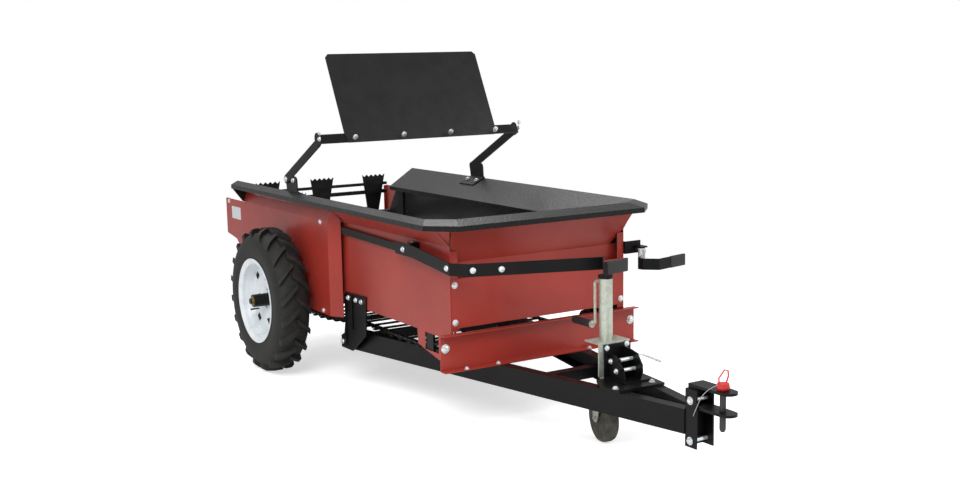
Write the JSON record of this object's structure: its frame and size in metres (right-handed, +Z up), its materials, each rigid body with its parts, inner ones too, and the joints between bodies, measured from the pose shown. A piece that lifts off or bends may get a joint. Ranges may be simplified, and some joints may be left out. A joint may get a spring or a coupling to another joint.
{
  "type": "ground-drive manure spreader",
  "caption": "Small towed manure spreader: flared hopper with chain apron and rear beater, two farm wheels, A-frame tongue with clevis hitch, tongue jack on a caster and a raised shield panel",
  "frame": {"origin": "on the ground, under the middle of the machine's overall length and width", "axes": "+Z up, +Y from the hitch towards the beater at the rear, +X to the left side of the machine seen in its direction of travel"},
  "size_m": [1.4, 3.5137, 1.5287],
  "materials": {
    "red_paint": "gloss baked red paint",
    "black_paint": "satin black powder coat",
    "black_liner": "glossy textured black bed-liner coating",
    "zinc": "bright zinc plate",
    "white_rim": "gloss white paint",
    "tyre_rubber": "matt black rubber with chevron lugs",
    "caster_rubber": "matt grey-black rubber",
    "dark_steel": "dark bare steel",
    "floor_board": "smooth dark floor board",
    "pin_red": "red coated grip on a steel pin",
    "wire": "galvanised wire rope"
  },
  "bodies": {
    "chassis": {"hopper_side_right": "red_paint", "guard_right": "red_paint", "beater_plate_right": "zinc", "tongue_beam_right": "black_paint", "tension_block_right": "black_paint", "panel_bracket_right": "black_paint", "lever_bracket_right": "black_paint", "lever_link_right": "dark_steel", "coping_right": "black_liner", "hopper_side_left": "red_paint", "guard_left": "red_paint", "beater_plate_left": "zinc", "tongue_beam_left": "black_paint", "tension_block_left": "black_paint", "panel_bracket_left": "black_paint", "lever_bracket_left": "black_paint", "lever_link_left": "dark_steel", "coping_left": "black_liner", "hopper_front_wall": "red_paint", "front_board": "red_paint", "front_channel": "red_paint", "coping_front": "black_liner", "hopper_floor": "floor_board", "hanger_frame": "black_paint", "cross_member": "black_paint", "hitch_channel": "black_paint", "clevis": "black_paint", "axle": "black_paint", "jack_plate": "black_paint", "jack_mount": "black_paint", "jack_cap": "black_paint", "apron": "dark_steel", "apron_shaft_front": "dark_steel", "apron_shaft_rear": "dark_steel", "hitch_pin": "pin_red", "pin_lanyard": "wire", "jack_tube": "zinc", "jack_crank": "zinc"},
    "wheel_right": {"tyre_right": "tyre_rubber", "wheel_rim_right": "white_rim", "hub_right": "black_paint"},
    "wheel_left": {"tyre_left": "tyre_rubber", "wheel_rim_left": "white_rim", "hub_left": "black_paint"},
    "beater": {"beater_shaft": "dark_steel", "beater_row_1": "dark_steel", "beater_row_2": "dark_steel", "beater_row_3": "dark_steel", "beater_row_4": "dark_steel"},
    "panel_frame": {"panel_arm_right": "black_paint", "panel_arm_left": "black_paint", "panel_bar": "black_paint", "panel": "black_paint"},
    "drive_lever_right": {"lever_right": "black_paint"},
    "drive_lever_left": {"lever_left": "black_paint"},
    "jack_inner_leg": {"jack_leg": "zinc"},
    "caster": {"caster_fork": "zinc"},
    "caster_roller": {"caster_wheel": "caster_rubber"}
  },
  "joints": [
    {"name": "wheel_right_spin", "type": "hinge", "parent": "chassis", "child": "wheel_right", "pos_m": [-0.598, 0.8707, 0.351], "axis": [1, 0, 0], "continuous": true},
    {"name": "wheel_left_spin", "type": "hinge", "parent": "chassis", "child": "wheel_left", "pos_m": [0.598, 0.8707, 0.351], "axis": [1, 0, 0], "continuous": true},
    {"name": "beater_spin", "type": "hinge", "parent": "chassis", "child": "beater", "pos_m": [0, 1.532, 0.63], "axis": [1, 0, 0], "continuous": true},
    {"name": "panel_lift", "type": "hinge", "parent": "chassis", "child": "panel_frame", "pos_m": [0, 0.778, 0.9405], "axis": [1, 0, 0], "range_deg": [-75, 0]},
    {"name": "lever_right_pull", "type": "hinge", "parent": "chassis", "child": "drive_lever_right", "pos_m": [-0.452, -0.33, 0.735], "axis": [0, 0, 1], "range_deg": [-8, 0]},
    {"name": "lever_left_pull", "type": "hinge", "parent": "chassis", "child": "drive_lever_left", "pos_m": [0.5, -0.64, 0.65], "axis": [0, 0, 1], "range_deg": [-20, 0]},
    {"name": "jack_extend", "type": "slide", "parent": "chassis", "child": "jack_inner_leg", "axis": [0, 0, -1], "range_m": [-0.04, 0.15]},
    {"name": "caster_swivel", "type": "hinge", "parent": "jack_inner_leg", "child": "caster", "pos_m": [0.017, -1.018, 0.2035], "axis": [0, 0, 1], "continuous": true},
    {"name": "caster_spin", "type": "hinge", "parent": "caster", "child": "caster_roller", "pos_m": [0.02157, -0.99648, 0.098], "axis": [0.9781, -0.2079, 0], "continuous": true}
  ]
}
